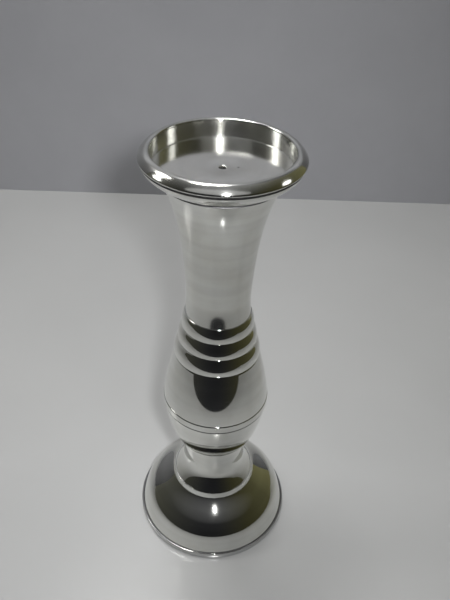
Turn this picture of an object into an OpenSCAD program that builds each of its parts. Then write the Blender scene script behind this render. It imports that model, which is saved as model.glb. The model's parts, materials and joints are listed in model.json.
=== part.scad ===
// Turned and polished metal candlestick for a pillar candle, in millimetres.
// Hollow turned sections stand on one another, and a spigot on each fits its neighbour's bore.
// One threaded rod up the middle clamps the whole stack between the candle pan and the foot.
// The origin is the centre of the underside, on the surface that the candlestick stands on.

/* [Candle pan] */
// Inner radius of the pan, which the candle stands in
pan_r = 50; // [49.6:0.1:50.4]
// Depth of the pan, from the crest of its rim to its floor
pan_depth = 14; // [13.6:0.1:14.4]
// Height of the pan, from the seam with the stem to the crest of its rim
pan_h = 21.2; // [21:0.1:22]
// Outer radius of the rim
rim_r = 58.3; // [58:0.1:58.6]
// Height of the rolled rim, from its crest to the groove under it
rim_h = 7.3; // [7.2:0.1:7.6]
// Radius of the pan's underside at the seam with the stem
skirt_r = 43.6; // [43:0.1:44.4]
// Radius of the hole in the middle of the pan
centre_hole_r = 2.2; // [1.5:0.1:3]

/* [Stem] */
// Height of the trumpet-shaped upper stem
stem_h = 117; // [100:1:140]
// Radius at the foot of the upper stem
stem_foot_r = 26.4; // [26:0.1:26.6]
// Radius of the upper stem where it is narrowest
stem_waist_r = 25.2; // [25:0.1:25.4]
// Radius at the top of the upper stem
stem_top_r = 43.6; // [43.4:0.1:44]
// Heights of the ring collars, from the lowest to the highest
ring_heights = [15, 14, 13]; // [12:1:18]
// Radii at the foot of each ring collar, from the lowest to the highest
ring_radii = [36, 32.6, 29.4]; // [28:0.1:37]

/* [Body] */
// Height of the body above the girdle band
body_h = 48.2; // [40:0.2:56]
// Height of the girdle band around the body's widest part
girdle_h = 7; // [7:0.5:9]
// Outer radius of the girdle band
girdle_r = 46; // [45.8:0.1:46.4]
// Height of the bowl below the girdle band
bowl_h = 50.6; // [46:0.2:56]

/* [Foot] */
// Height of the waisted neck
neck_h = 44.2; // [40:0.2:48]
// Height of the collar between the neck and the dome
collar_h = 4.8; // [4:0.1:6]
// Height of the dome
dome_h = 41; // [39:0.5:45]
// Height of the base ring above the surface
base_h = 7; // [6.8:0.1:8]
// Outer radius of the base ring
base_r = 71.6; // [71.2:0.1:73]

/* [Construction] */
// Wall thickness of the hollow sections
wall = 3.2; // [3:0.1:3.4]
// Length of each spigot
spigot_h = 3; // [2.6:0.1:3]
// Radius of the tie rod
rod_r = 4; // [3.6:0.1:4.2]

/* [Hidden] */

silver = [0.86, 0.86, 0.85];
steel = [0.62, 0.62, 0.64];
board = [0.45, 0.38, 0.3];
felt = [0.09, 0.09, 0.1];

// Heights of the seams, from the foot up.
z_base = base_h;
z_dome = z_base + dome_h;
z_collar = z_dome + collar_h;
z_neck = z_collar + neck_h;
z_bowl = z_neck + bowl_h;
z_girdle = z_bowl + girdle_h;
z_body = z_girdle + body_h;
z_ring_low = z_body + ring_heights[0];
z_ring_mid = z_ring_low + ring_heights[1];
z_ring_top = z_ring_mid + ring_heights[2];
z_stem = z_ring_top + stem_h;
z_crest = z_stem + pan_h;
z_floor = z_crest - pan_depth;

// Radii of the spigots at those seams.
base_spigot_r = 65.5;
dome_spigot_r = 31;
neck_spigot_r = 23;
girdle_spigot_r = 41.5;
body_spigot_r = 31.5;
ring_low_spigot_r = 28;
ring_mid_spigot_r = 25;
ring_top_spigot_r = 21.5;
pan_spigot_r = 40;

slide_fit = 0.1;      // radial clearance of a spigot in its bore
end_gap = 0.4;        // space past the end of a spigot
edge_r = 0.3;         // rounding of a turned edge
shoulder_r = 0.9;     // rounding at the top of a ring collar and of the body
pan_floor_t = 3.4;    // thickness of the pan's floor
thread_gap = 0.05;    // radial clearance of a tapped hole around the rod
thread_pitch = 1.25;
thread_depth = 0.6;
felt_proud = 0.5;     // how far the felt stands below the base ring
curve_steps = 24;
edge_steps = 5;
$fn = 96;

// Points of the cubic curve that runs from p[0] to p[3] and leans towards p[1] and p[2].
function cubic(p, n = curve_steps) = [
  for (i = [0:n])
    let (t = i / n, u = 1 - t)
      u * u * u * p[0] + 3 * u * u * t * p[1] + 3 * u * t * t * p[2] + t * t * t * p[3]
];

// Points of an arc about a centre, from one angle to another.
function arc(centre, r, from, to, n = edge_steps) =
  [for (i = [0:n]) let (a = from + (to - from) * i / n) centre + r * [cos(a), sin(a)]];

// A lower edge at [r, z], rounded outwards and up.
function lower_edge(r, z, radius = edge_r) = arc([r - radius, z + radius], radius, -90, 0);

// An upper edge at [r, z], rounded up and inwards.
function upper_edge(r, z, radius = edge_r) = arc([r - radius, z - radius], radius, 0, 90);

// The inner surface of a shell, from the top down: its face, one wall thickness nearer the axis,
// between two heights.
function lining(face, low, high) = [
  for (i = [len(face) - 1:-1:0])
    if (face[i].y > low && face[i].y < high) [face[i].x - wall, face[i].y]
];

// A spigot below a seam, on the way up the outside.
function spigot_below(r, z) = [[r, z - spigot_h], [r, z]];

// A spigot above a seam, on the way over the top.
function spigot_above(r, z) = [[r, z], [r, z + spigot_h], [r - wall, z + spigot_h]];

// The bore that takes a spigot from above, on the way down the inside.
function bore_from_above(r, z) =
  [[r + slide_fit, z], [r + slide_fit, z - spigot_h - end_gap], [r - 2, z - spigot_h - end_gap]];

// A solid of revolution from a closed outline of [radius, height] points.
module turned(outline) {
  rotate_extrude() polygon(outline);
}

// The rim from its lower edge, over the crest and down to the bore: four arcs that run on from one
// another. The flank between the lower edge and the crest is as large as the rim's radius needs.
lip_r = 1.7;
crest_r = 5;
roll_r = 1.5;
steep = 33;
flat = 50;
reach = rim_r - roll_r - pan_r - lip_r;
flank_r = (reach - crest_r * cos(flat) + roll_r * cos(steep)) / (cos(steep) - cos(flat));
crest_centre = [pan_r + lip_r, z_crest - crest_r];
flank_centre = crest_centre - (flank_r - crest_r) * [cos(flat), sin(flat)];
roll_centre = flank_centre + (flank_r - roll_r) * [cos(steep), sin(steep)];
rolled_rim = concat(
  arc(roll_centre, roll_r, -70, steep, 6),
  arc(flank_centre, flank_r, steep, flat, 6),
  arc(crest_centre, crest_r, flat, 90, 6),
  arc([pan_r + lip_r, z_crest - lip_r], lip_r, 90, 180, 6)
);

module candle_pan() {
  z_groove = z_crest - rim_h;
  floor_fillet = 0.8;
  dish_r = 16;
  dish_depth = 0.3;
  mouth_r = centre_hole_r + 1.2;
  boss_r = 9;
  boss_h = 15;
  z_under = z_floor - pan_floor_t;
  color(silver) turned(concat(
    spigot_below(pan_spigot_r, z_stem),
    [[skirt_r, z_stem]],
    cubic([
      [skirt_r + 1.2, z_stem + 1.6],
      [skirt_r + 6.4, z_stem + 3.8],
      [rim_r - 2.4, z_groove - 5.7],
      [rim_r - 1.3, z_groove - 1.3]
    ], 12),
    [[rim_r - 1.6, z_groove]],
    rolled_rim,
    arc([pan_r - floor_fillet, z_floor + floor_fillet], floor_fillet, 0, -90),
    cubic([
      [dish_r, z_floor],
      [dish_r - 4, z_floor],
      [dish_r / 2, z_floor - dish_depth],
      [mouth_r, z_floor - dish_depth]
    ], 8),
    [[centre_hole_r, z_floor - dish_depth - 1]],
    [[centre_hole_r, z_under], [rod_r + thread_gap, z_under]],
    [[rod_r + thread_gap, z_under - boss_h], [boss_r, z_under - boss_h]],
    [[boss_r, z_under], [pan_spigot_r - wall, z_under], [pan_spigot_r - wall, z_stem - spigot_h]]
  ));
}

module upper_stem() {
  z_flare = z_ring_top + 19;
  flare = cubic([
    [stem_foot_r, z_ring_top],
    [stem_foot_r - 0.6, z_ring_top + 8],
    [stem_waist_r + 0.3, z_ring_top + 13],
    [stem_waist_r + 0.55, z_flare]
  ], 8);
  trumpet = cubic([
    [stem_waist_r, z_ring_top],
    [stem_waist_r + 1, z_ring_top + 49],
    [stem_waist_r + 5.2, z_stem - 25],
    [stem_top_r, z_stem - 0.8]
  ], 28);
  face = concat(flare, [for (p = trumpet) if (p.y > z_flare) p]);
  color(silver) turned(concat(
    spigot_below(ring_top_spigot_r, z_ring_top),
    face,
    [[stem_top_r - 0.6, z_stem]],
    bore_from_above(pan_spigot_r, z_stem),
    lining(face, z_ring_top + wall, z_stem - 8),
    [[ring_top_spigot_r - wall, z_ring_top], [ring_top_spigot_r - wall, z_ring_top - spigot_h]]
  ));
}

// A barrel-shaped collar from z0 to z1, with a spigot below it and a bore in its top.
module ring_collar(z0, z1, foot_r, top_r, lower_spigot_r, upper_spigot_r) {
  h = z1 - z0;
  z_seat = z1 - spigot_h - end_gap;
  color(silver) turned(concat(
    spigot_below(lower_spigot_r, z0),
    lower_edge(foot_r, z0),
    cubic([
      [foot_r, z0 + edge_r],
      [foot_r, z0 + 0.5 * h],
      [top_r + 1.9, z1 - 0.37 * h],
      [top_r, z1 - shoulder_r]
    ], 16),
    arc([top_r - shoulder_r, z1 - shoulder_r], shoulder_r, 20, 90),
    bore_from_above(upper_spigot_r, z1),
    [[upper_spigot_r - 2, z_seat - 1], [lower_spigot_r - wall, z_seat - 2]],
    [[lower_spigot_r - wall, z0 - spigot_h]]
  ));
}

module ring_collar_top() {
  ring_collar(
    z_ring_mid, z_ring_top, ring_radii[2], stem_foot_r + 0.8, ring_mid_spigot_r, ring_top_spigot_r
  );
}

module ring_collar_middle() {
  ring_collar(
    z_ring_low, z_ring_mid, ring_radii[1], ring_radii[2], ring_low_spigot_r, ring_mid_spigot_r
  );
}

module ring_collar_bottom() {
  ring_collar(
    z_body, z_ring_low, ring_radii[0], ring_radii[1], body_spigot_r, ring_low_spigot_r
  );
}

module body_shell() {
  foot_r = girdle_r - 0.4;
  face = cubic([
    [foot_r, z_girdle + edge_r],
    [foot_r - 2.3, z_girdle + 19],
    [ring_radii[0] + 3.9, z_body - 16],
    [ring_radii[0], z_body - shoulder_r]
  ]);
  color(silver) turned(concat(
    spigot_below(girdle_spigot_r, z_girdle),
    lower_edge(foot_r, z_girdle),
    face,
    arc([ring_radii[0] - shoulder_r, z_body - shoulder_r], shoulder_r, 12, 90),
    bore_from_above(body_spigot_r, z_body),
    lining(face, z_girdle + wall, z_body - 8),
    [[girdle_spigot_r - wall, z_girdle], [girdle_spigot_r - wall, z_girdle - spigot_h]]
  ));
}

// A plain band on the spigots of the body and the bowl, trapped between the two.
module girdle_band() {
  inner_r = girdle_spigot_r + slide_fit;
  color(silver) turned(concat(
    [[inner_r, z_bowl]],
    lower_edge(girdle_r, z_bowl),
    upper_edge(girdle_r, z_girdle, 1.1),
    [[inner_r, z_girdle]]
  ));
}

module lower_bowl() {
  floor_t = 4;
  top_r = girdle_r - 0.5;
  bore_r = neck_spigot_r + slide_fit;
  face = cubic([
    [28.4, z_neck],
    [37, z_neck + 5.5],
    [girdle_r - 3.8, z_bowl - 23.5],
    [top_r, z_bowl - 0.8]
  ]);
  color(silver) turned(concat(
    [[bore_r, z_neck]],
    face,
    [[top_r - 1.2, z_bowl]],
    spigot_above(girdle_spigot_r, z_bowl),
    [[girdle_spigot_r - wall, z_bowl - 2]],
    lining(face, z_neck + floor_t + 3, z_bowl - 9),
    [[bore_r + 3, z_neck + floor_t], [bore_r, z_neck + floor_t]]
  ));
}

module neck_spool() {
  z_foot = z_dome - 2;
  face = cubic([
    [36.4, z_collar],
    [24.4, z_collar + 19.5],
    [28.4, z_collar + 17.5],
    [27.6, z_neck]
  ], 32);
  color(silver) turned(concat(
    [[dome_spigot_r, z_foot], [dome_spigot_r, z_collar]],
    face,
    spigot_above(neck_spigot_r, z_neck),
    [[neck_spigot_r - wall, z_neck]],
    lining(face, z_collar + 8, z_neck - 8),
    [[dome_spigot_r - wall, z_collar + 2], [dome_spigot_r - wall, z_foot]]
  ));
}

// A collar around the neck's spigot, trapped between the neck and the dome.
module foot_collar() {
  foot_r = 38.9;
  top_r = 37.1;
  inner_r = dome_spigot_r + slide_fit;
  color(silver) turned(concat(
    [[inner_r, z_dome]],
    lower_edge(foot_r, z_dome),
    arc([top_r - edge_r, z_collar - edge_r], edge_r, 15, 90),
    [[inner_r, z_collar]]
  ));
}

// The web across the top of the dome carries the pull of the tie rod.
web_t = 4;
z_web = z_dome - 2 - end_gap - web_t;

module foot_dome() {
  bore_r = dome_spigot_r + slide_fit;
  rod_hole_r = rod_r + 0.5;
  shoulder = [58.3, z_base + 25.3];
  side = cubic([
    [base_r - 1.8, z_base],
    [base_r - 6.4, z_base + 14.9],
    [base_r - 5.7, z_base + 16.6],
    shoulder
  ], 16);
  crown = cubic([
    shoulder,
    [53.6, z_dome - 10.2],
    [43.1, z_dome - 4.6],
    [38.7, z_dome]
  ], 16);
  inner_face = cubic([
    [34, z_web],
    [48, z_web - 3],
    [base_spigot_r - 3, z_base + 21],
    [base_spigot_r - wall, z_base]
  ]);
  color(silver) turned(concat(
    spigot_below(base_spigot_r, z_base),
    side,
    [for (i = [1:len(crown) - 1]) crown[i]],
    [[bore_r, z_dome], [bore_r, z_web + web_t], [rod_hole_r, z_web + web_t], [rod_hole_r, z_web]],
    inner_face,
    [[base_spigot_r - wall, z_base - spigot_h]]
  ));
}

cover_r = 64;
cover_t = 1;
felt_t = 1.2;

// The ring that the dome stands on. A rebate under it holds the cover and the felt.
module base_ring() {
  z_bottom = felt_proud;
  z_rebate = felt_t + cover_t;
  z_ledge = z_base - spigot_h - end_gap;
  ledge_r = 61;
  rebate_r = cover_r + 0.3;
  bore_r = base_spigot_r + slide_fit;
  color(silver) turned(concat(
    [[rebate_r, z_bottom]],
    lower_edge(base_r - 0.2, z_bottom),
    cubic([
      [base_r - 0.2, z_bottom + edge_r],
      [base_r, z_bottom + 2],
      [base_r, z_base - 3],
      [base_r - 0.2, z_base - 0.7]
    ], 6),
    arc([base_r - 0.6, z_base - 0.7], 0.4, 15, 80),
    [[base_r - 0.9, z_base - 0.35], [base_r - 1.9, z_base]],
    [[bore_r, z_base], [bore_r, z_ledge], [ledge_r, z_ledge]],
    [[ledge_r, z_rebate], [rebate_r, z_rebate]]
  ));
}

washer_t = 1.6;
spring_t = 2.2;
nut_h = 6.5;
z_washer = z_web - washer_t;
z_spring = z_washer - spring_t;
z_nut = z_spring - nut_h;

// Rounded thread ridges up the side of the rod, from a height z.
function ridges(z, turns) = [
  for (i = [0:turns - 1], p = [[rod_r - thread_depth, 0], [rod_r, 0.4], [rod_r, 0.6]])
    [p.x, z + (i + p.y) * thread_pitch]
];

module tie_rod() {
  z_top = z_floor - pan_floor_t;
  z_bottom = z_nut - 5;
  chamfer = 1;
  top_turns = 12;
  bottom_turns = 18;
  z_top_thread = z_top - chamfer - top_turns * thread_pitch;
  z_bottom_thread = z_bottom + chamfer;
  root_r = rod_r - thread_depth;
  shank_r = rod_r - 0.2;
  color(steel) turned(concat(
    [[0, z_bottom], [root_r, z_bottom]],
    ridges(z_bottom_thread, bottom_turns),
    [[shank_r, z_bottom_thread + bottom_turns * thread_pitch], [shank_r, z_top_thread]],
    ridges(z_top_thread, top_turns),
    [[root_r, z_top], [0, z_top]]
  ));
}

// A flat ring with its underside at a height z.
module washer(outer_r, inner_r, z, t) {
  translate([0, 0, z]) difference() {
    cylinder(r = outer_r, h = t);
    translate([0, 0, -1]) cylinder(r = inner_r, h = t + 2);
  }
}

module clamp_washer() {
  color(steel) washer(12, rod_r + 0.3, z_washer, washer_t);
}

// A ring of square section, cut through once at a slant.
module spring_washer() {
  cut_w = 1;
  color(steel) difference() {
    washer(6.4, rod_r + 0.1, z_spring, spring_t);
    translate([0, 0, z_spring + spring_t / 2]) rotate([25, 0, 0])
      translate([rod_r - 1, -cut_w / 2, -spring_t]) cube([4, cut_w, 2 * spring_t]);
  }
}

// A hexagon nut with chamfered corners.
module clamp_nut() {
  across_flats = 13;
  corner_r = across_flats / 2 / cos(30);
  chamfer = 0.6;
  color(steel) translate([0, 0, z_nut]) difference() {
    intersection() {
      cylinder(r = corner_r, h = nut_h, $fn = 6);
      rotate_extrude() polygon([
        [0, 0], [corner_r - chamfer, 0], [corner_r, chamfer],
        [corner_r, nut_h - chamfer], [corner_r - chamfer, nut_h], [0, nut_h]
      ]);
    }
    translate([0, 0, -1]) cylinder(r = rod_r + thread_gap, h = nut_h + 2);
  }
}

// A stiff disc that closes the foot.
module base_cover() {
  color(board) translate([0, 0, felt_t]) cylinder(r = cover_r, h = cover_t);
}

module felt_pad() {
  color(felt) cylinder(r = cover_r, h = felt_t);
}

candle_pan();
upper_stem();
ring_collar_top();
ring_collar_middle();
ring_collar_bottom();
body_shell();
girdle_band();
lower_bowl();
neck_spool();
foot_collar();
foot_dome();
base_ring();
tie_rod();
clamp_washer();
spring_washer();
clamp_nut();
base_cover();
felt_pad();
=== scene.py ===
"""A polished metal candlestick on a white table in front of a grey wall.

The room around it is dim. A flash beside the camera, a ceiling lamp and a lamp on the left light it.
"""
import json
import math

import bpy
from mathutils import Matrix, Vector

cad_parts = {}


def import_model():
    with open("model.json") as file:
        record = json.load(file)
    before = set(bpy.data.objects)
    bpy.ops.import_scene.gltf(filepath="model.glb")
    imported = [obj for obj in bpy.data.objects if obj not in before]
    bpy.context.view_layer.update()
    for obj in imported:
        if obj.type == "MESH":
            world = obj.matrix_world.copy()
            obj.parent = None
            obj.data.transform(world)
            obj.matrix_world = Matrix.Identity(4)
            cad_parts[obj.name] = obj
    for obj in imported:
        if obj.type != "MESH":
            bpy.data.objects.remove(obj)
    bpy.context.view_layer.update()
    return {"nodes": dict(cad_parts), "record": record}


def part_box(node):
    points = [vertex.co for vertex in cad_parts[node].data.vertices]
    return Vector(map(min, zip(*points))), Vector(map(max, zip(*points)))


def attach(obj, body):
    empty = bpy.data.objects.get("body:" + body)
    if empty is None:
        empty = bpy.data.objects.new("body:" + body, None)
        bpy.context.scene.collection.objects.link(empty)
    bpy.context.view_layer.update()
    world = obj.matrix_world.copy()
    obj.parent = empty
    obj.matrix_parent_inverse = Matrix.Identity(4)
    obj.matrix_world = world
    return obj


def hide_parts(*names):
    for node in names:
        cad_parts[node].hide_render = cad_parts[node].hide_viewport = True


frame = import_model()

MM = 0.001
TURN_STEPS = 192  # facets around the axis
SHARP = 32  # degrees: an edge sharper than this is not smoothed over


# ---------------------------------------------------------------- heights and radii, in millimetres

def low(node):
    """The height of a node's lowest point."""
    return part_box(node)[0].z / MM


def high(node):
    """The height of a node's highest point."""
    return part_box(node)[1].z / MM


def radius(node):
    """The largest radius of a node."""
    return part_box(node)[1].x / MM


Z_BASE = high("base_ring")
Z_DOME = high("foot_dome")
Z_COLLAR = high("foot_collar")
Z_NECK = low("lower_bowl")
Z_BOWL = low("girdle_band")
Z_GIRDLE = high("girdle_band")
Z_BODY = high("body_shell")
Z_RING_LOW = high("ring_collar_bottom")
Z_RING_MID = high("ring_collar_middle")
Z_RING_TOP = high("ring_collar_top")
Z_STEM = high("upper_stem")
Z_CREST = high("candle_pan")

RIM_R = radius("candle_pan")
GIRDLE_R = radius("girdle_band")
BASE_R = radius("base_ring")
FELT_R = radius("felt_pad")
COLLAR_R = radius("foot_collar")
PAN_R = frame["record"]["mounts"][0]["dims"]["r_mm"]
PAN_DEPTH = 14.0
HOLE_R = 2.2  # the hole in the middle of the pan
STEM_TOP_R = 43.6
STEM_WAIST_R = 25.2
STEM_FOOT_R = 26.4
RING_R = (36.0, 32.6, 29.4, 27.2)  # the foot of each ring collar from the lowest up, and the last one's top
Z_FLOOR = Z_CREST - PAN_DEPTH
Z_GROOVE = Z_CREST - 7.3  # the groove under the rim

WALL = 3.2  # thickness of the hollow sections
EDGE = 0.3  # rounding of a turned edge
SPIGOT = 3.0  # length of a spigot
FIT = 0.1  # clearance around it
END_GAP = 0.4  # space past its end

# Radii of the spigots at the seams.
PAN_SPIGOT = 40
RING_SPIGOTS = (31.5, 28, 25, 21.5)  # under each ring collar from the lowest up, and under the stem
GIRDLE_SPIGOT = 41.5
NECK_SPIGOT = 23
DOME_SPIGOT = 31
BASE_SPIGOT = 65.5

# Materials of a turned piece, by index: its polished face, its hidden inside and its seams, dark with polish
# residue and with painted shade.
FACE, INSIDE, SEAM = 0, 1, 2
# The pan has two more: its inner wall and its floor.
BORE, FLOOR = 3, 4


# ---------------------------------------------------------------- outlines

def cubic(p0, p1, p2, p3, steps=64):
    """Points of the curve from p0 to p3 that leans towards p1 and p2."""
    points = []
    for i in range(steps + 1):
        t = i / steps
        u = 1 - t
        weights = (u * u * u, 3 * u * u * t, 3 * u * t * t, t * t * t)
        points.append(tuple(sum(w * p[k] for w, p in zip(weights, (p0, p1, p2, p3))) for k in (0, 1)))
    return points


def arc(centre, r, start, end, steps=12):
    """Points of an arc about a centre, from one angle to another in degrees."""
    points = []
    for i in range(steps + 1):
        a = math.radians(start + (end - start) * i / steps)
        points.append((centre[0] + r * math.cos(a), centre[1] + r * math.sin(a)))
    return points


def inward(face, bottom, top):
    """The lining of a shell, from the top down, one wall thickness inside its face."""
    return [(r - WALL, z) for r, z in reversed(face) if bottom < z < top]


def lathe(name, outline, materials):
    """A solid of revolution. outline is a list of (material index, points) that runs once round
    the section, up the outside first."""
    points = [(r * MM, z * MM, slot) for slot, part in outline for r, z in part]
    rings = []
    verts = []
    for r, z, _ in points:
        if r == 0:
            rings.append([len(verts)] * TURN_STEPS)
            verts.append((0.0, 0.0, z))
            continue
        rings.append(list(range(len(verts), len(verts) + TURN_STEPS)))
        for j in range(TURN_STEPS):
            a = 2 * math.pi * j / TURN_STEPS
            verts.append((r * math.cos(a), r * math.sin(a), z))
    faces = []
    slots = []
    for i, ring in enumerate(rings):
        above = rings[(i + 1) % len(rings)]
        for j in range(TURN_STEPS):
            k = (j + 1) % TURN_STEPS
            corners = [ring[j], ring[k], above[k], above[j]]
            corners = [v for n, v in enumerate(corners) if v not in corners[:n]]
            if len(corners) > 2:
                faces.append(corners)
                slots.append(points[i][2])
    mesh = bpy.data.meshes.new(name)
    mesh.from_pydata(verts, [], faces)
    for material in materials:
        mesh.materials.append(material)
    mesh.polygons.foreach_set("material_index", slots)
    mesh.shade_smooth()
    mesh.set_sharp_from_angle(angle=math.radians(SHARP))
    mesh.update()
    piece = bpy.data.objects.new(name, mesh)
    bpy.context.collection.objects.link(piece)
    return piece


# ---------------------------------------------------------------- materials

def new_material(name):
    """A material, with its nodes, its links and its shader."""
    material = bpy.data.materials.new(name)
    material.use_nodes = True
    nodes = material.node_tree.nodes
    return material, nodes, material.node_tree.links, nodes["Principled BSDF"]


def math_node(nodes, links, operation, a, b=None):
    """A Math node. Each of its inputs is a socket or a number."""
    node = nodes.new("ShaderNodeMath")
    node.operation = operation
    for socket, value in zip(node.inputs, (a, b)):
        if value is None:
            continue
        if isinstance(value, (int, float)):
            socket.default_value = value
        else:
            links.new(value, socket)
    return node.outputs[0]


def ramp(nodes, links, value, stops):
    """A colour ramp. stops are (position, grey level or colour)."""
    node = nodes.new("ShaderNodeValToRGB")
    elements = node.color_ramp.elements
    while len(elements) < len(stops):
        elements.new(0.5)
    for element, (position, colour) in zip(elements, stops):
        element.position = position
        if isinstance(colour, (int, float)):
            colour = (colour, colour, colour)
        element.color = (*colour, 1.0)
    links.new(value, node.inputs["Fac"])
    return node.outputs["Color"]


def blend(nodes, links, kind, a, b):
    """Two colours multiplied or added. kind is MULTIPLY or ADD."""
    node = nodes.new("ShaderNodeMix")
    node.data_type = "RGBA"
    node.blend_type = kind
    node.inputs["Factor"].default_value = 1.0
    links.new(a, node.inputs["A"])
    links.new(b, node.inputs["B"])
    return node.outputs["Result"]


def noise(nodes, links, vector, scale, detail, roughness):
    """The grey level of a noise. Its scale is in cells along one unit of the vector."""
    node = nodes.new("ShaderNodeTexNoise")
    node.inputs["Scale"].default_value = scale
    node.inputs["Detail"].default_value = detail
    node.inputs["Roughness"].default_value = roughness
    links.new(vector, node.inputs["Vector"])
    return node.outputs["Fac"]


def add_bump(nodes, links, shader, height, depth):
    """A bump of a depth in millimetres."""
    bump = nodes.new("ShaderNodeBump")
    bump.inputs["Strength"].default_value = 1.0
    bump.inputs["Distance"].default_value = depth * MM
    links.new(height, bump.inputs["Height"])
    links.new(bump.outputs["Normal"], shader.inputs["Normal"])


def turned_coordinates(nodes, links):
    """The place on a piece, and a vector that changes fast with radius and height and slowly around
    the axis, so that a noise on it is drawn out into the fine rings that a lathe leaves."""
    around = 4.0  # how much it changes across the piece
    place = nodes.new("ShaderNodeTexCoord").outputs["Object"]
    split = nodes.new("ShaderNodeSeparateXYZ")
    links.new(place, split.inputs[0])
    x, y, z = split.outputs
    square = math_node(nodes, links, "ADD", math_node(nodes, links, "MULTIPLY", x, x),
                       math_node(nodes, links, "MULTIPLY", y, y))
    r = math_node(nodes, links, "SQRT", square)
    join = nodes.new("ShaderNodeCombineXYZ")
    links.new(math_node(nodes, links, "MULTIPLY", r, 1 / MM), join.inputs[0])
    links.new(math_node(nodes, links, "MULTIPLY", z, 1 / MM), join.inputs[1])
    sweep = math_node(nodes, links, "ADD", math_node(nodes, links, "MULTIPLY", x, around),
                      math_node(nodes, links, "MULTIPLY", y, around * 0.7))
    links.new(sweep, join.inputs[2])
    return place, join.outputs[0]


def polished_metal(name, colour, smooth, rough, lines, anisotropy):
    """Turned and buffed metal. Its roughness wanders between smooth and rough with handling marks,
    and lines is the depth of its polishing rings in millimetres."""
    material, nodes, links, shader = new_material(name)
    place, turned = turned_coordinates(nodes, links)
    marks = noise(nodes, links, place, 38.0, 4.0, 0.6)
    rings = noise(nodes, links, turned, 2.2, 3.0, 0.65)
    hairlines = noise(nodes, links, turned, 9.0, 2.0, 0.6)

    # Base colour: a little darker and warmer where the polish has dulled, and in faint broad bands.
    dull = tuple(c * f for c, f in zip(colour, (0.93, 0.92, 0.895)))
    tarnish = ramp(nodes, links, marks, [(0.30, dull), (0.62, colour)])
    bands = ramp(nodes, links, noise(nodes, links, turned, 0.10, 1.5, 0.5), [(0.36, 0.925), (0.60, 1.0)])
    links.new(blend(nodes, links, "MULTIPLY", tarnish, bands), shader.inputs["Base Color"])

    # Roughness: rings and smudges together.
    mixed = math_node(nodes, links, "ADD", math_node(nodes, links, "MULTIPLY", marks, 0.6),
                      math_node(nodes, links, "MULTIPLY", rings, 0.4))
    links.new(ramp(nodes, links, mixed, [(0.34, smooth), (0.66, rough)]), shader.inputs["Roughness"])

    # Bump: the rings, with finer hairlines over them.
    height = math_node(nodes, links, "ADD", math_node(nodes, links, "MULTIPLY", rings, 0.7),
                       math_node(nodes, links, "MULTIPLY", hairlines, 0.3))
    add_bump(nodes, links, shader, height, lines)

    # The rings scatter light across themselves, which stretches a highlight up and down.
    tangent = nodes.new("ShaderNodeTangent")
    tangent.direction_type = "RADIAL"
    tangent.axis = "Z"
    links.new(tangent.outputs["Tangent"], shader.inputs["Tangent"])
    shader.inputs["Anisotropic"].default_value = anisotropy
    shader.inputs["Anisotropic Rotation"].default_value = 0.25
    shader.inputs["Metallic"].default_value = 1.0
    return material


def pit(material, centre, r):
    """Darkens a small round spot, whose centre is in metres and whose radius is in millimetres."""
    nodes, links = material.node_tree.nodes, material.node_tree.links
    colour = nodes["Principled BSDF"].inputs["Base Color"]
    away = nodes.new("ShaderNodeVectorMath")
    away.operation = "DISTANCE"
    links.new(nodes.new("ShaderNodeTexCoord").outputs["Object"], away.inputs[0])
    away.inputs[1].default_value = centre
    reach = math_node(nodes, links, "MULTIPLY", away.outputs["Value"], 0.5 / (r * MM))
    spot = ramp(nodes, links, reach, [(0.40, 0.10), (0.60, 1.0)])
    links.new(blend(nodes, links, "MULTIPLY", colour.links[0].from_socket, spot), colour)


def plain_surface(name, colours, rough, scale, metallic=0.0, depth=0.0):
    """A surface mottled between two colours and two roughnesses, with a bump of a depth in
    millimetres."""
    material, nodes, links, shader = new_material(name)
    place = nodes.new("ShaderNodeTexCoord").outputs["Object"]
    grain = noise(nodes, links, place, scale, 4.0, 0.65)
    mottling = ramp(nodes, links, grain, [(0.35, colours[0]), (0.65, colours[1])])
    links.new(mottling, shader.inputs["Base Color"])
    links.new(ramp(nodes, links, grain, [(0.3, rough[0]), (0.7, rough[1])]), shader.inputs["Roughness"])
    shader.inputs["Metallic"].default_value = metallic
    if depth:
        add_bump(nodes, links, shader, grain, depth)
    return material


SILVER = (0.725, 0.73, 0.705)
PALE_SILVER = (0.86, 0.86, 0.83)
# A darker copy of the silver: painted shade for the base ring.
SHADED_SILVER = (0.54, 0.545, 0.545)

mirror = polished_metal("mirror_polish", SILVER, smooth=0.02, rough=0.07, lines=0.0006, anisotropy=0.3)
soft_polish = polished_metal("soft_polish", SILVER, smooth=0.04, rough=0.085, lines=0.0013, anisotropy=0.9)
satin = polished_metal("satin_turned", SILVER, smooth=0.17, rough=0.23, lines=0.0012, anisotropy=0.7)
rim_polish = polished_metal("rim_polish", SILVER, smooth=0.12, rough=0.18, lines=0.0012, anisotropy=0.8)
faced = polished_metal("faced_floor", PALE_SILVER, smooth=0.11, rough=0.15, lines=0.0006, anisotropy=0.3)
pit(faced, centre=(0.0107, 0.0, Z_FLOOR * MM), r=0.7)
# The base ring's metal is darker than the rest: painted shade for the shaded table near its foot that it
# reflects.
base_shade_polish = polished_metal("base_polish_painted_shade", SHADED_SILVER, smooth=0.05, rough=0.12, lines=0.0006, anisotropy=0.3)

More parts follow.
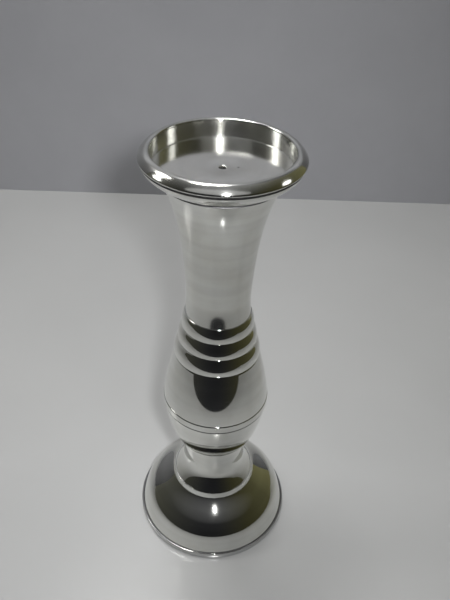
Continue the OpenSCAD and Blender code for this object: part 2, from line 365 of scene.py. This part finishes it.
inside_metal = plain_surface(
    "unpolished_inside", ((0.42, 0.42, 0.41), (0.52, 0.52, 0.50)), rough=(0.45, 0.65), scale=300.0,
    metallic=1.0, depth=0.05)
# Seams and grooves: polish residue, and painted shade where grooves and overhangs lie in shadow.
seam_residue_and_shade = plain_surface(
    "polish_residue_and_painted_shade", ((0.05, 0.05, 0.055), (0.12, 0.12, 0.12)), rough=(0.35, 0.6), scale=900.0,
    metallic=0.6)
zinc = plain_surface(
    "zinc_plate", ((0.50, 0.51, 0.53), (0.64, 0.64, 0.66)), rough=(0.28, 0.42), scale=420.0,
    metallic=1.0, depth=0.01)
board = plain_surface(
    "fibre_board", ((0.20, 0.14, 0.09), (0.30, 0.22, 0.15)), rough=(0.75, 0.9), scale=700.0, depth=0.05)
felt = plain_surface(
    "black_felt", ((0.008, 0.008, 0.009), (0.028, 0.028, 0.030)), rough=(0.9, 1.0), scale=1500.0, depth=0.25)


# ---------------------------------------------------------------- turned pieces

def spigot_down(r, z):
    """Up the outside of a spigot below a seam."""
    return [(r, z - SPIGOT), (r, z)]


def bore_up(r, z):
    """Down the bore that takes the spigot of the piece above."""
    z_end = z - SPIGOT - END_GAP
    return [(r + FIT, z), (r + FIT, z_end), (r - 2, z_end)]


def low_edge(r, z):
    """A lower edge, rounded outwards and up."""
    return arc((r - EDGE, z + EDGE), EDGE, -90, 0)


def top_edge(r, z, rounding):
    """An upper edge, rounded up and inwards."""
    return arc((r - rounding, z - rounding), rounding, 0, 90)


def rolled_rim():
    """The rim from its lower edge, over the crest and down to the bore: four arcs that run on from
    one another, the second of them as large as the rim's radius needs."""
    lip, crest, roll = 1.7, 5.0, 1.5
    steep, flat = 33, 50
    cos_steep, cos_flat = math.cos(math.radians(steep)), math.cos(math.radians(flat))
    sin_steep, sin_flat = math.sin(math.radians(steep)), math.sin(math.radians(flat))
    reach = RIM_R - roll - PAN_R - lip
    flank = (reach - crest * cos_flat + roll * cos_steep) / (cos_steep - cos_flat)
    middle = (PAN_R + lip - (flank - crest) * cos_flat, Z_CREST - crest - (flank - crest) * sin_flat)
    edge = (RIM_R - roll, middle[1] + (flank - roll) * sin_steep)
    return [
        (SEAM, [(RIM_R - 1.6, Z_GROOVE)]),
        (FACE, arc(edge, roll, -70, steep)[:-1]),
        (FACE, arc(middle, flank, steep, flat)[:-1]),
        (FACE, arc((PAN_R + lip, Z_CREST - crest), crest, flat, 90)),
        (FACE, arc((PAN_R + lip, Z_CREST - lip), lip, 90, 172)[1:]),
        (BORE, [(PAN_R, Z_CREST - lip)]),
    ]


def pan_floor():
    """The floor from its fillet, over the shallow dish in the middle and down the hole."""
    fillet = 0.8
    dish_r, dish_depth = 16, 0.3
    mouth = 1.0  # rounding of the hole's upper edge
    mouth_r = HOLE_R + 1.2
    return [
        (BORE, arc((PAN_R - fillet, Z_FLOOR + fillet), fillet, 0, -90)[:-1]),
        (FLOOR, [(PAN_R - fillet, Z_FLOOR)]),
        (FLOOR, cubic((dish_r, Z_FLOOR), (dish_r - 4, Z_FLOOR),
                      (dish_r / 2, Z_FLOOR - dish_depth), (mouth_r, Z_FLOOR - dish_depth), 24)),
        (FLOOR, arc((mouth_r, Z_FLOOR - dish_depth - mouth), mouth, 90, 180)),
        (SEAM, [(HOLE_R, Z_FLOOR - 2)]),
    ]


def candle_pan():
    """The pan, with a boss under its floor that the tie rod screws into."""
    floor_t = 3.4
    boss_r, boss_h = 9, 15
    tapped_r = 4.05
    z_under = Z_FLOOR - floor_t
    z_boss = z_under - boss_h
    lining_r = PAN_SPIGOT - WALL
    skirt = cubic((STEM_TOP_R + 1.2, Z_STEM + 1.6), (STEM_TOP_R + 6.4, Z_STEM + 3.8),
                  (RIM_R - 2.4, Z_GROOVE - 5.7), (RIM_R - 1.3, Z_GROOVE - 1.3))
    return [
        (INSIDE, spigot_down(PAN_SPIGOT, Z_STEM)),
        (SEAM, [(STEM_TOP_R, Z_STEM)]),
        (FACE, skirt[:-1]),
        (SEAM, skirt[-1:]),
        *rolled_rim(),
        *pan_floor(),
        (INSIDE, [(HOLE_R, z_under), (tapped_r, z_under), (tapped_r, z_boss), (boss_r, z_boss)]),
        (INSIDE, [(boss_r, z_under), (lining_r, z_under), (lining_r, Z_STEM - SPIGOT)]),
    ]


def upper_stem():
    """The trumpet-shaped stem, which is narrowest a little above its foot."""
    spigot = RING_SPIGOTS[3]
    z_flare = Z_RING_TOP + 19
    flare = cubic((STEM_FOOT_R, Z_RING_TOP), (STEM_FOOT_R - 0.6, Z_RING_TOP + 8),
                  (STEM_WAIST_R + 0.3, Z_RING_TOP + 13), (STEM_WAIST_R + 0.55, z_flare), 24)
    trumpet = cubic((STEM_WAIST_R, Z_RING_TOP), (STEM_WAIST_R + 1, Z_RING_TOP + 49),
                    (STEM_WAIST_R + 5.2, Z_STEM - 25), (STEM_TOP_R, Z_STEM - 0.8), 96)
    face = flare + [p for p in trumpet if p[1] > z_flare]
    return [
        (INSIDE, spigot_down(spigot, Z_RING_TOP)),
        (FACE, face[:-1]),
        (SEAM, [face[-1], (STEM_TOP_R - 0.6, Z_STEM)]),
        (INSIDE, bore_up(PAN_SPIGOT, Z_STEM)),
        (INSIDE, inward(face, Z_RING_TOP + WALL, Z_STEM - 8)),
        (INSIDE, [(spigot - WALL, Z_RING_TOP), (spigot - WALL, Z_RING_TOP - SPIGOT)]),
    ]


def ring_collar(z0, z1, foot_r, top_r, lower_spigot, upper_spigot):
    """A barrel-shaped collar from z0 to z1, with a spigot below it and a bore in its top."""
    h = z1 - z0
    shoulder = 0.9
    z_seat = z1 - SPIGOT - END_GAP
    inner_r = lower_spigot - WALL
    face = cubic((foot_r, z0 + EDGE), (foot_r, z0 + 0.5 * h),
                 (top_r + 1.9, z1 - 0.37 * h), (top_r, z1 - shoulder), 40)
    return [
        (INSIDE, spigot_down(lower_spigot, z0)),
        (SEAM, [(foot_r - 0.9, z0)]),
        (FACE, low_edge(foot_r, z0)),
        (FACE, face),
        (FACE, arc((top_r - shoulder, z1 - shoulder), shoulder, 20, 90)),
        (INSIDE, bore_up(upper_spigot, z1)),
        (INSIDE, [(upper_spigot - 2, z_seat - 1), (inner_r, z_seat - 2)]),
        (INSIDE, [(inner_r, z0 - SPIGOT)]),
    ]


def body_shell():
    """The upper half of the body, from the girdle band up to the ring collars."""
    foot_r = GIRDLE_R - 0.4
    top_r = RING_R[0]
    shoulder = 1.0
    inner_r = GIRDLE_SPIGOT - WALL
    face = cubic((foot_r, Z_GIRDLE + 0.4), (foot_r - 2.3, Z_GIRDLE + 19),
                 (top_r + 3.9, Z_BODY - 16), (top_r, Z_BODY - shoulder))
    return [
        (INSIDE, spigot_down(GIRDLE_SPIGOT, Z_GIRDLE)),
        (SEAM, [(foot_r - 0.9, Z_GIRDLE)]),
        (FACE, low_edge(foot_r, Z_GIRDLE)),
        (FACE, face),
        (FACE, arc((top_r - 1.1, Z_BODY - shoulder), shoulder, 12, 90)),
        (INSIDE, bore_up(RING_SPIGOTS[0], Z_BODY)),
        (INSIDE, inward(face, Z_GIRDLE + WALL, Z_BODY - 8)),
        (INSIDE, [(inner_r, Z_GIRDLE), (inner_r, Z_GIRDLE - SPIGOT)]),
    ]


def girdle_band():
    """A plain band on the spigots of the body and the bowl, trapped between the two."""
    bore = GIRDLE_SPIGOT + FIT
    return [
        (INSIDE, [(bore, Z_BOWL)]),
        (SEAM, [(GIRDLE_R - 1.2, Z_BOWL)]),
        (FACE, low_edge(GIRDLE_R, Z_BOWL)),
        (FACE, top_edge(GIRDLE_R, Z_GIRDLE, 1.1)),
        (SEAM, [(GIRDLE_R - 1.8, Z_GIRDLE)]),
        (INSIDE, [(bore, Z_GIRDLE)]),
    ]


def lower_bowl():
    """The lower half of the body, with a dark groove at its top."""
    top_r = GIRDLE_R - 0.5
    groove = 1.4
    bore = NECK_SPIGOT + FIT
    inner_r = GIRDLE_SPIGOT - WALL
    z_floor = Z_NECK + 4
    face = cubic((28.4, Z_NECK), (37, Z_NECK + 5.5),
                 (GIRDLE_R - 3.8, Z_BOWL - 23.5), (top_r, Z_BOWL - groove - 0.1))
    return [
        (INSIDE, [(bore, Z_NECK)]),
        (FACE, face),
        (SEAM, [(top_r - 0.02, Z_BOWL - groove), (top_r - 1.2, Z_BOWL)]),
        (INSIDE, [(GIRDLE_SPIGOT, Z_BOWL), (GIRDLE_SPIGOT, Z_BOWL + SPIGOT)]),
        (INSIDE, [(inner_r, Z_BOWL + SPIGOT), (inner_r, Z_BOWL - 2)]),
        (INSIDE, inward(face, z_floor + 3, Z_BOWL - 9)),
        (INSIDE, [(bore + 3, z_floor), (bore, z_floor)]),
    ]


def neck_spool():
    """The waisted neck, with a spigot at either end."""
    z_foot = Z_DOME - 2
    upper_r = NECK_SPIGOT - WALL
    lower_r = DOME_SPIGOT - WALL
    face = cubic((36.4, Z_COLLAR), (24.4, Z_COLLAR + 19.5), (28.4, Z_COLLAR + 17.5), (27.6, Z_NECK), 80)
    return [
        (INSIDE, [(DOME_SPIGOT, z_foot), (DOME_SPIGOT, Z_COLLAR)]),
        (FACE, face),
        (INSIDE, [(NECK_SPIGOT, Z_NECK), (NECK_SPIGOT, Z_NECK + SPIGOT)]),
        (INSIDE, [(upper_r, Z_NECK + SPIGOT), (upper_r, Z_NECK)]),
        (INSIDE, inward(face, Z_COLLAR + 8, Z_NECK - 8)),
        (INSIDE, [(lower_r, Z_COLLAR + 2), (lower_r, z_foot)]),
    ]


def foot_collar():
    """A collar around the neck's spigot, trapped between the neck and the dome."""
    bore = DOME_SPIGOT + FIT
    return [
        (INSIDE, [(bore, Z_DOME)]),
        (SEAM, [(COLLAR_R - 1.2, Z_DOME)]),
        (FACE, low_edge(COLLAR_R, Z_DOME)),
        (FACE, arc((COLLAR_R - 1.8, Z_COLLAR - 0.3), 0.3, 15, 90)),
        (INSIDE, [(bore, Z_COLLAR)]),
    ]


def foot_dome():
    """The domed foot, with the web across its top that the tie rod pulls on."""
    bore = DOME_SPIGOT + FIT
    rod_hole = 4.5
    z_web = Z_DOME - 6.4
    z_web_top = Z_DOME - 2.4
    inner_r = BASE_SPIGOT - WALL
    shoulder = (58.3, Z_BASE + 25.3)
    face = cubic((BASE_R - 1.8, Z_BASE), (65.2, Z_BASE + 14.9), (65.9, Z_BASE + 16.6), shoulder)[:-1]
    face += cubic(shoulder, (53.6, Z_DOME - 10.2), (43.1, Z_DOME - 4.6), (38.7, Z_DOME))
    inner = cubic((34, z_web), (48, z_web - 3), (BASE_SPIGOT - 3, Z_BASE + 21), (inner_r, Z_BASE))
    return [
        (INSIDE, spigot_down(BASE_SPIGOT, Z_BASE)),
        (FACE, face),
        (INSIDE, [(bore, Z_DOME), (bore, z_web_top), (rod_hole, z_web_top), (rod_hole, z_web)]),
        (INSIDE, inner),
        (INSIDE, [(inner_r, Z_BASE - SPIGOT)]),
    ]


def base_ring():
    """The ring that the dome stands on, with a rebate under it for the cover and the felt."""
    z0 = low("base_ring")
    z_rebate = 2.2
    rebate_r = FELT_R + 0.3
    z_ledge = Z_BASE - SPIGOT - END_GAP
    ledge_r = 61
    bore = BASE_SPIGOT + FIT
    face = cubic((BASE_R - 0.2, z0 + EDGE), (BASE_R, z0 + 2),
                 (BASE_R, Z_BASE - 3), (BASE_R - 0.2, Z_BASE - 0.7), 24)
    return [
        (INSIDE, [(rebate_r, z0)]),
        (FACE, low_edge(BASE_R - 0.2, z0)),
        (FACE, face),
        (FACE, arc((BASE_R - 0.6, Z_BASE - 0.7), 0.4, 15, 80)),
        (SEAM, [(BASE_R - 0.9, Z_BASE - 0.35), (BASE_R - 1.9, Z_BASE)]),
        (INSIDE, [(bore, Z_BASE), (bore, z_ledge), (ledge_r, z_ledge)]),
        (INSIDE, [(ledge_r, z_rebate), (rebate_r, z_rebate)]),
    ]


def felt_pad():
    """The felt under the base, with a soft lower edge. It has one material."""
    top = high("felt_pad")
    rounding = 0.4
    return [
        (0, [(0, 0), (FELT_R - rounding, 0)]),
        (0, arc((FELT_R - rounding, rounding), rounding, -90, 0)),
        (0, [(FELT_R, top), (0, top)]),
    ]


def place(name, outline, node, materials):
    """Puts a turned piece where a CAD node is, on the body that the node rides on."""
    piece = lathe(name, outline, materials)
    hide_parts(node)
    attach(piece, "root")
    return piece


bright = [mirror, inside_metal, seam_residue_and_shade]
pan = place("candle_pan_turned", candle_pan(), "candle_pan",
            [rim_polish, inside_metal, seam_residue_and_shade, satin, faced])
stem = place("upper_stem_turned", upper_stem(), "upper_stem", [soft_polish, inside_metal, seam_residue_and_shade])

ring_seams = (Z_BODY, Z_RING_LOW, Z_RING_MID, Z_RING_TOP)
for i, level in ((2, "top"), (1, "middle"), (0, "bottom")):
    ring = ring_collar(*ring_seams[i:i + 2], *RING_R[i:i + 2], *RING_SPIGOTS[i:i + 2])
    place(f"ring_{level}_turned", ring, f"ring_collar_{level}", bright)

place("body_turned", body_shell(), "body_shell", bright)
place("girdle_turned", girdle_band(), "girdle_band", bright)
place("bowl_turned", lower_bowl(), "lower_bowl", bright)
place("neck_turned", neck_spool(), "neck_spool", bright)
place("foot_collar_turned", foot_collar(), "foot_collar", bright)
place("foot_dome_turned", foot_dome(), "foot_dome", bright)
place("base_ring_turned", base_ring(), "base_ring", [base_shade_polish, inside_metal, seam_residue_and_shade])
place("felt_disc", felt_pad(), "felt_pad", [felt])


def refinish(node, material):
    """Gives a carried-over CAD node a material."""
    mesh = frame["nodes"][node].data
    mesh.materials.clear()
    mesh.materials.append(material)


for hardware in ("tie_rod", "clamp_washer", "spring_washer", "clamp_nut"):
    refinish(hardware, zinc)
refinish("base_cover", board)


# ---------------------------------------------------------------- table and wall

WALL_Y = 0.635
WALL_LEFT, WALL_RIGHT = -1.85, 0.75
WALL_BOTTOM, WALL_TOP = -0.4, 2.2
TABLE_FRONT = -0.385
TABLE_LEFT, TABLE_RIGHT = -1.6, 0.67
TABLE_T, WALL_T = 0.03, 0.02  # thicknesses
SLAB_EDGE = 0.004  # rounding of the table's and the wall's edges


def slab(name, x0, x1, y0, y1, z0, z1, material):
    """A board with rounded edges."""
    mesh = bpy.data.meshes.new(name)
    corners = [(x, y, z) for z in (z0, z1) for x, y in ((x0, y0), (x1, y0), (x1, y1), (x0, y1))]
    faces = [(3, 2, 1, 0), (4, 5, 6, 7), (0, 1, 5, 4), (1, 2, 6, 5), (2, 3, 7, 6), (3, 0, 4, 7)]
    mesh.from_pydata(corners, [], faces)
    mesh.materials.append(material)
    board_object = bpy.data.objects.new(name, mesh)
    bpy.context.collection.objects.link(board_object)
    bevel = board_object.modifiers.new("edge", "BEVEL")
    bevel.width = SLAB_EDGE
    bevel.segments = 4


def laminate():
    """White glossy table top with a faint orange-peel."""
    material, nodes, links, shader = new_material("white_laminate")
    surface = nodes.new("ShaderNodeTexCoord").outputs["Object"]
    tone = noise(nodes, links, surface, 2.5, 3.0, 0.5)
    whites = ramp(nodes, links, tone, [(0.3, (0.455, 0.46, 0.46)), (0.7, (0.51, 0.515, 0.515))])
    links.new(whites, shader.inputs["Base Color"])
    shader.inputs["Roughness"].default_value = 0.16
    add_bump(nodes, links, shader, noise(nodes, links, surface, 220.0, 2.0, 0.5), depth=0.01)
    return material


white = laminate()
grey = plain_surface(
    "grey_wall", ((0.515, 0.52, 0.555), (0.545, 0.55, 0.585)), rough=(0.55, 0.6), scale=6.0)
slab("table", TABLE_LEFT, TABLE_RIGHT, TABLE_FRONT, WALL_Y + 0.1, -TABLE_T, 0.0, white)
slab("wall", WALL_LEFT, WALL_RIGHT, WALL_Y, WALL_Y + WALL_T, WALL_BOTTOM, WALL_TOP, grey)


# ---------------------------------------------------------------- light

def to_ramp(nodes, links, value):
    """Brings a value between -1 and 1 to between 0 and 1."""
    scaled = math_node(nodes, links, "MULTIPLY_ADD", value, 0.5)
    scaled.node.inputs[2].default_value = 0.5
    return scaled


def world():
    """A dim room: dark in front, olive at the sides, grey behind, and a paler ceiling."""
    made = bpy.data.worlds.new("room")
    bpy.context.scene.world = made
    made.use_nodes = True
    nodes, links = made.node_tree.nodes, made.node_tree.links
    split = nodes.new("ShaderNodeSeparateXYZ")
    links.new(nodes.new("ShaderNodeTexCoord").outputs["Generated"], split.inputs[0])
    x, y, z = split.outputs
    across = to_ramp(nodes, links, x)
    depth = to_ramp(nodes, links, y)
    grey_level = ramp(nodes, links, depth, [
        (0.0, 0.014), (0.12, 0.028), (0.35, 0.047), (0.60, 0.075), (1.0, 0.22)])
    tint = ramp(nodes, links, across, [
        (0.0, (1.0, 1.0, 0.80)), (0.38, (0.98, 1.0, 1.08)),
        (0.58, (0.98, 1.0, 1.05)), (0.9, (1.05, 1.0, 0.50))])
    ceiling = ramp(nodes, links, z, [(0.55, 0.0), (0.78, 0.05), (0.95, 0.16)])
    walls = blend(nodes, links, "MULTIPLY", grey_level, tint)
    links.new(blend(nodes, links, "ADD", walls, ceiling), nodes["Background"].inputs["Color"])


def lamp(name, position, target, width, height, power, colour=(1.0, 1.0, 1.0), shape="ELLIPSE", spread=180):
    """A flat lamp that faces a target. Its power is in watts and its spread in degrees."""
    data = bpy.data.lights.new(name, "AREA")
    data.shape = shape
    data.size = width
    data.size_y = height
    data.energy = power
    data.color = colour
    data.spread = math.radians(spread)
    light = bpy.data.objects.new(name, data)
    light.location = position
    light.rotation_euler = (Vector(target) - Vector(position)).to_track_quat("-Z", "Y").to_euler()
    bpy.context.collection.objects.link(light)
    return light


def link(light, pieces, state="INCLUDE"):
    """Lets a lamp light only these pieces, or with EXCLUDE everything but them."""
    receivers = bpy.data.collections.new(light.name + "_pieces")
    for piece in pieces:
        receivers.objects.link(piece)
    for entry in receivers.collection_objects:
        entry.light_linking.link_state = state
    light.light_linking.receiver_collection = receivers


FLASH = (0.045, -0.41, 0.60)
FLASH_AIM = (-0.05, 0.25, 0.11)
PAN_TOP = (0, 0, 0.38)
WARM_WHITE = (1.0, 0.99, 0.97)
WARMER_WHITE = (1.0, 0.985, 0.96)

world()
flash = lamp("flash", FLASH, FLASH_AIM, 0.045, 0.045, 1.05, spread=110)
pan_flash = lamp("flash_on_the_pan", FLASH, FLASH_AIM, 0.05, 0.06, 0.26, spread=110)
lamp("wall_wash", (0, 0.35, 0.82), (0, 0.66, 0.82), 1.4, 0.10, 0.60, shape="RECTANGLE", spread=100)
lamp("ceiling_panel", (-0.2, 0.45, 1.9), (-0.1, 0.3, 0), 0.55, 0.28, 15.2, WARM_WHITE, "RECTANGLE")
lamp("left_panel", (-1.45, 0.42, 1.7), (0, 0, 0.2), 0.60, 0.60, 8.0, WARMER_WHITE, "RECTANGLE")
front = lamp("front_reflector", (-0.1, -0.95, 1.40), PAN_TOP, 2.0, 0.6, 1.1)
left = lamp("left_reflector", (-1.5, 0.12, 1.03), PAN_TOP, 0.40, 0.35, 1.2)
right = lamp("right_reflector", (1.5, 0.08, 1.03), PAN_TOP, 0.40, 0.35, 1.0)

# The pan has a weaker flash of its own. The reflectors light only the pan, and the left one the stem too.
link(flash, [pan], "EXCLUDE")
link(pan_flash, [pan])
link(front, [pan])
link(left, [pan, stem])
link(right, [pan])


# ---------------------------------------------------------------- camera

CAMERA = (0, -0.40926, 0.56871)
CAMERA_DOWN, CAMERA_ROLL, CAMERA_RIGHT = 37.588, 2.248, 0.723  # degrees
LENS, FRAME_H = 39.0, 36.0  # millimetres


def camera():
    """A camera in front of the candlestick and above it, looking down on it."""
    data = bpy.data.cameras.new("camera")
    data.sensor_fit = "VERTICAL"
    data.sensor_height = FRAME_H
    data.lens = LENS
    pitch, roll, yaw = math.radians(CAMERA_DOWN), math.radians(CAMERA_ROLL), math.radians(CAMERA_RIGHT)
    ahead = Vector((math.sin(yaw) * math.cos(pitch), math.cos(yaw) * math.cos(pitch), -math.sin(pitch)))
    level = Vector((math.cos(yaw), -math.sin(yaw), 0))
    upright = level.cross(ahead)
    right = math.cos(roll) * level + math.sin(roll) * upright
    up = -math.sin(roll) * level + math.cos(roll) * upright
    axes = Matrix((right, up, -ahead)).transposed().to_4x4()
    made = bpy.data.objects.new("camera", data)
    made.matrix_world = Matrix.Translation(CAMERA) @ axes
    bpy.context.collection.objects.link(made)
    bpy.context.scene.camera = made


camera()
bpy.context.scene.view_settings.view_transform = "Standard"
